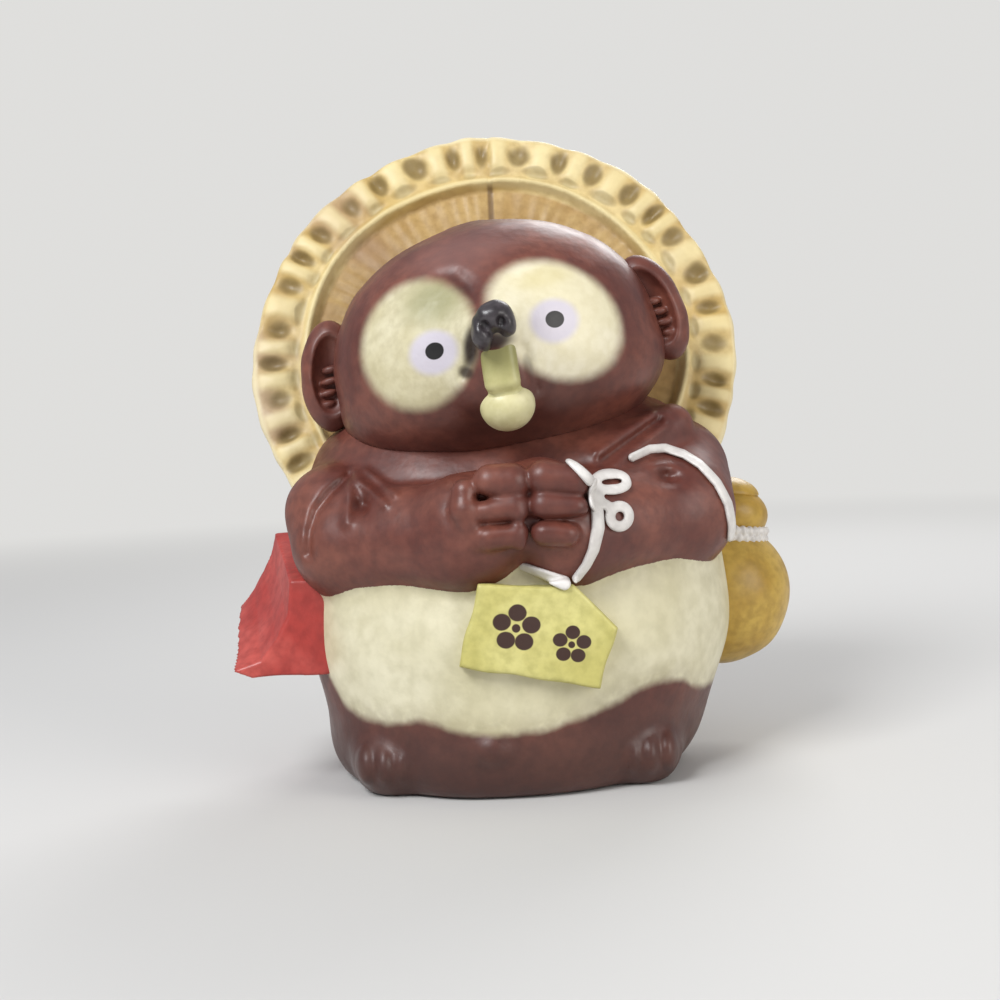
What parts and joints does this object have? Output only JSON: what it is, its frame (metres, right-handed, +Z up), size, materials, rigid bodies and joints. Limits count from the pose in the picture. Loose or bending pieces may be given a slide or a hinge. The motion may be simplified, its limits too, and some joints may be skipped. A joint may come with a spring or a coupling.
{
  "type": "tanuki statue",
  "caption": "Painted earthenware tanuki figurine in a sedge hat, arms folded, with a gourd and an account book at its hips and a tablet on its belly.",
  "frame": {"origin": "on the flat underside, below the middle of the body", "axes": "+Z up, the figure faces -Y, +X is the figure's left side"},
  "size_m": [0.1631, 0.1196, 0.1864],
  "materials": {
    "body_paint": "satin paint",
    "head_paint": "satin paint",
    "brown_paint": "satin paint",
    "straw_paint": "satin paint",
    "nose_paint": "satin paint",
    "cream_paint": "satin paint",
    "red_paint": "satin paint",
    "ochre_paint": "satin paint",
    "white_paint": "satin paint",
    "plaque_paint": "satin paint"
  },
  "bodies": {
    "root": {"torso_shell": "body_paint", "head_shell": "head_paint", "straw_hat": "straw_paint", "right_ear": "brown_paint", "left_ear": "brown_paint", "nose": "nose_paint", "muzzle": "cream_paint", "chin": "cream_paint", "right_arm": "brown_paint", "left_arm": "brown_paint", "right_foot": "brown_paint", "left_foot": "brown_paint", "money_pouch": "brown_paint", "tail": "brown_paint", "account_book": "red_paint", "gourd": "ochre_paint", "gourd_stopper": "ochre_paint", "gourd_cord": "white_paint", "shoulder_cord": "white_paint", "cord_bow": "white_paint", "bow_end": "white_paint", "plaque": "plaque_paint", "plaque_cord": "white_paint", "plaque_string": "white_paint"}
  },
  "joints": []
}
